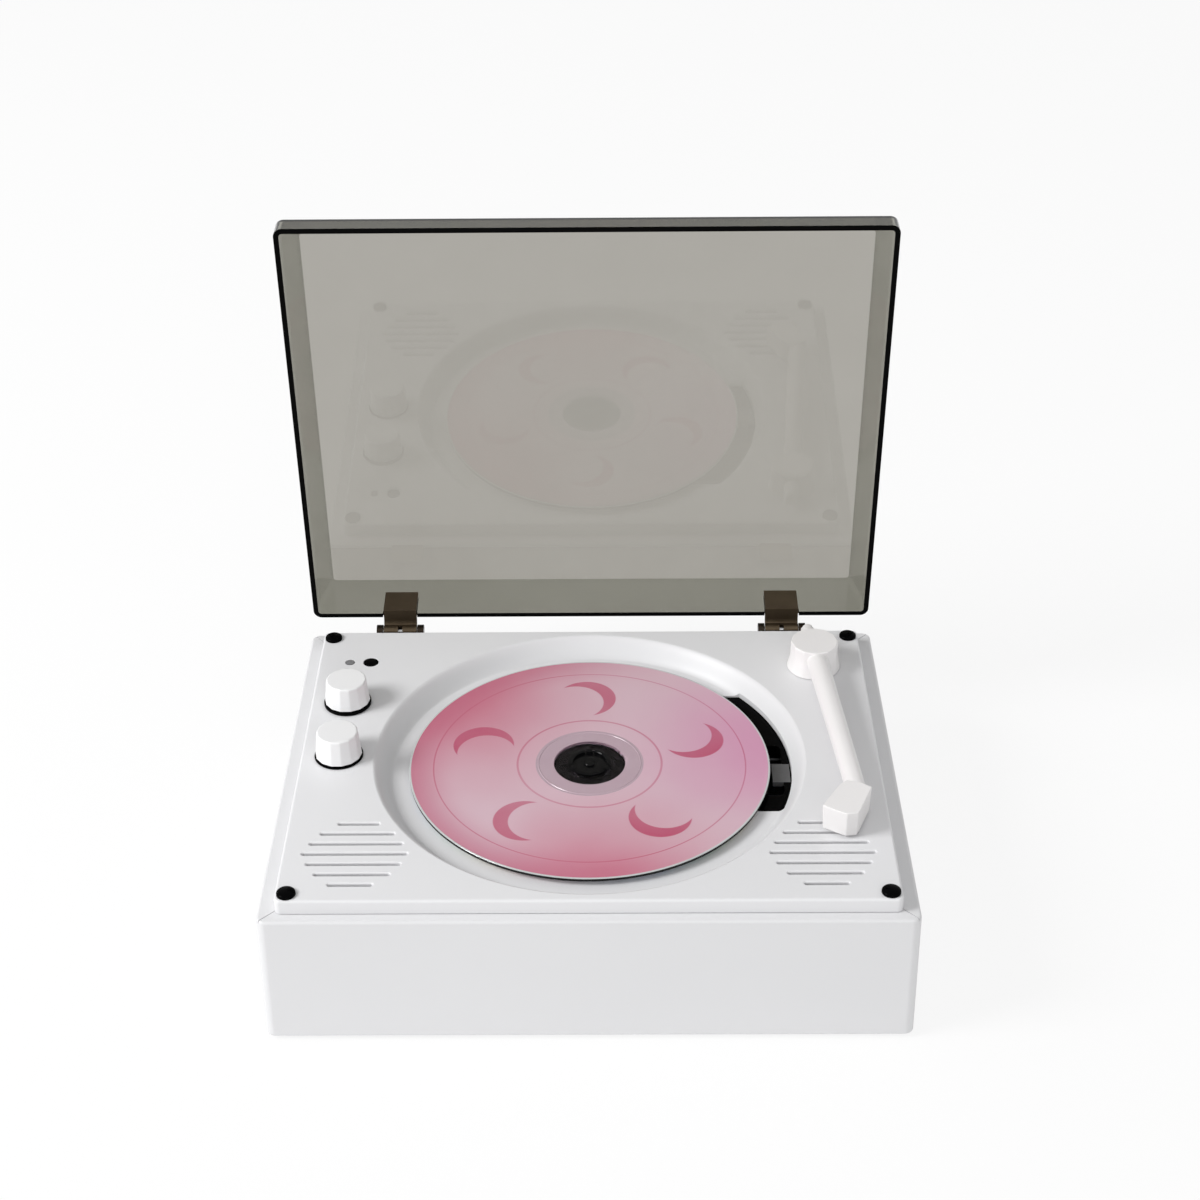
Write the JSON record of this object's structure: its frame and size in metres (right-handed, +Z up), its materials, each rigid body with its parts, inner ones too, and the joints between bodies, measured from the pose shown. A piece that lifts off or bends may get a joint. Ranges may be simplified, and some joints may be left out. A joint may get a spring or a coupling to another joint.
{
  "type": "cd_player",
  "caption": "White portable CD player with a dished disc well, tonearm-style arm, two knobs, twin speaker grilles and a hinged smoked dust cover standing open.",
  "frame": {"origin": "on the surface the player stands on, under the centre of the box round the whole player with its lid open", "axes": "+Z up, +X to the viewer's right, +Y to the back, where the lid stands; the front is at -Y"},
  "size_m": [0.2042, 0.1876, 0.2104],
  "materials": {
    "white_plastic": "fine satin moulding",
    "black_plastic": "glossy moulding",
    "black_rubber": "matt",
    "smoked_clear": "clear polished acrylic",
    "hinge_bronze": "satin plated strip",
    "bright_steel": "bright",
    "grey_metal": "satin",
    "disc_print": "printed disc under clear lacquer",
    "lens_glass": "polished",
    "board_green": "circuit board",
    "battery_blue": "shrink sleeve",
    "cone_paper": "paper cone in a steel basket",
    "led_grey": "small lens",
    "gear_nylon": "moulded nylon"
  },
  "bodies": {
    "base": {"base_shell": "white_plastic", "bottom_cover": "white_plastic", "top_deck": "white_plastic", "cap_front_left": "black_plastic", "cap_back_left": "black_plastic", "cap_front_right": "black_plastic", "cap_back_right": "black_plastic", "remote_window": "black_plastic", "volume_ring": "black_plastic", "mode_ring": "black_plastic", "drive_chassis": "black_plastic", "audio_jack": "black_plastic", "foot_front_left": "black_rubber", "foot_back_left": "black_rubber", "foot_front_right": "black_rubber", "foot_back_right": "black_rubber", "hinge_leaf_left": "hinge_bronze", "hinge_leaf_right": "hinge_bronze", "hinge_pin_left": "bright_steel", "hinge_pin_right": "bright_steel", "guide_rod_front": "bright_steel", "guide_rod_back": "bright_steel", "spindle_motor": "bright_steel", "sled_motor": "bright_steel", "gear_clip": "bright_steel", "arm_post": "bright_steel", "usb_socket": "bright_steel", "switch_body": "bright_steel", "volume_control": "grey_metal", "mode_control": "grey_metal", "window_bracket": "grey_metal", "screw_front_left": "grey_metal", "screw_back_left": "grey_metal", "screw_front_right": "grey_metal", "screw_back_right": "grey_metal", "circuit_board": "board_green", "battery_pack": "battery_blue", "speaker_left": "cone_paper", "speaker_right": "cone_paper", "power_light": "led_grey"},
    "lid": {"lid_shell": "smoked_clear", "hinge_clip_left": "hinge_bronze", "hinge_clip_right": "hinge_bronze"},
    "tonearm": {"arm_base": "white_plastic", "arm_tube": "white_plastic", "arm_head": "white_plastic"},
    "volume": {"volume_knob": "white_plastic", "volume_shaft": "bright_steel"},
    "mode": {"mode_knob": "white_plastic", "mode_shaft": "bright_steel"},
    "turntable": {"disc_hub": "black_plastic", "spindle_shaft": "bright_steel", "compact_disc": "disc_print"},
    "sled": {"pickup_sled": "black_plastic", "pickup_lens": "lens_glass"},
    "gear": {"drive_gear": "gear_nylon"},
    "pinion": {"motor_pinion": "gear_nylon"},
    "slider": {"power_slider": "black_plastic"}
  },
  "joints": [
    {"name": "lid_hinge", "type": "hinge", "parent": "base", "child": "lid", "pos_m": [0, 0.06996, 0.0465], "axis": [1, 0, 0], "range_deg": [0, 85]},
    {"name": "tonearm_swing", "type": "hinge", "parent": "base", "child": "tonearm", "pos_m": [0.0785, 0.03596, 0.0585], "axis": [0, 0, -1], "range_deg": [0, 30]},
    {"name": "volume_turn", "type": "hinge", "parent": "base", "child": "volume", "pos_m": [-0.0833, 0.01436, 0.0585], "axis": [0, 0, -1], "range_deg": [0, 280]},
    {"name": "mode_turn", "type": "hinge", "parent": "base", "child": "mode", "pos_m": [-0.0833, -0.01584, 0.0585], "axis": [0, 0, -1], "range_deg": [0, 90]},
    {"name": "spindle_spin", "type": "hinge", "parent": "base", "child": "turntable", "pos_m": [0, -0.01564, 0.0485], "axis": [0, 0, -1], "continuous": true},
    {"name": "sled_slide", "type": "slide", "parent": "base", "child": "sled", "axis": [1, 0, 0], "range_m": [0, 0.032]},
    {"name": "drive_gear_spin", "type": "hinge", "parent": "base", "child": "gear", "pos_m": [0.04, 0.0132, 0.0345], "axis": [0, 0, 1], "range_deg": [-5, 332.4]},
    {"name": "motor_pinion_spin", "type": "hinge", "parent": "base", "child": "pinion", "pos_m": [0.02649, 0.021, 0.0345], "axis": [0, 0, -1], "range_deg": [-10, 1101.3]},
    {"name": "power_slide", "type": "slide", "parent": "base", "child": "slider", "axis": [1, 0, 0], "range_m": [0, 0.003]}
  ],
  "couplings": [
    {"joint": "drive_gear_spin", "follows": "sled_slide", "rad_per_m": 178.57},
    {"joint": "motor_pinion_spin", "follows": "sled_slide", "rad_per_m": 595.24}
  ]
}
